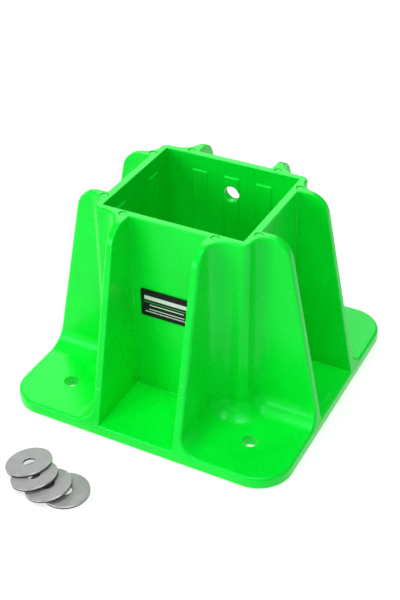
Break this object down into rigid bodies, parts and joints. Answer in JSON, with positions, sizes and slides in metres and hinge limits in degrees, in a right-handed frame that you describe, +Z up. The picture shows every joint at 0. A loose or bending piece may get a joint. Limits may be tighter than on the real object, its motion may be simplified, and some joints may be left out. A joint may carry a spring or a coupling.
{
  "type": "guardrail post base",
  "caption": "Moulded plastic base with a rectangular socket for a timber guardrail post, braced by sloping ribs on a square foot plate, with a label and loose flat washers.",
  "frame": {"origin": "middle of the foot plate's underside, on the ground", "axes": "+Z up along the post, -Y towards the wall with the label, +Y towards the wall with the cross hole, +X to the right seen from the label side"},
  "size_m": [0.186, 0.2503, 0.1295],
  "materials": {
    "green_plastic": "bright green moulded plastic, satin to gloss",
    "label_film": "black printed film with white and green bars",
    "zinc_steel": "bright zinc plating, lightly scratched"
  },
  "bodies": {
    "base": {"moulded_base": "green_plastic", "label": "label_film"},
    "washer_1": {"washer_1": "zinc_steel"},
    "washer_2": {"washer_2": "zinc_steel"},
    "washer_3": {"washer_3": "zinc_steel"},
    "washer_4": {"washer_4": "zinc_steel"}
  },
  "joints": [
    {"name": "washer_4_lift", "type": "slide", "parent": "base", "child": "washer_4", "axis": [0, 0, 1], "range_m": [0, 0.06]},
    {"name": "washer_3_lift", "type": "slide", "parent": "washer_4", "child": "washer_3", "axis": [0, 0, 1], "range_m": [0, 0.05]},
    {"name": "washer_2_lift", "type": "slide", "parent": "washer_3", "child": "washer_2", "axis": [0, 0, 1], "range_m": [0, 0.04]},
    {"name": "washer_1_lift", "type": "slide", "parent": "washer_2", "child": "washer_1", "axis": [0, 0, 1], "range_m": [0, 0.04]}
  ]
}
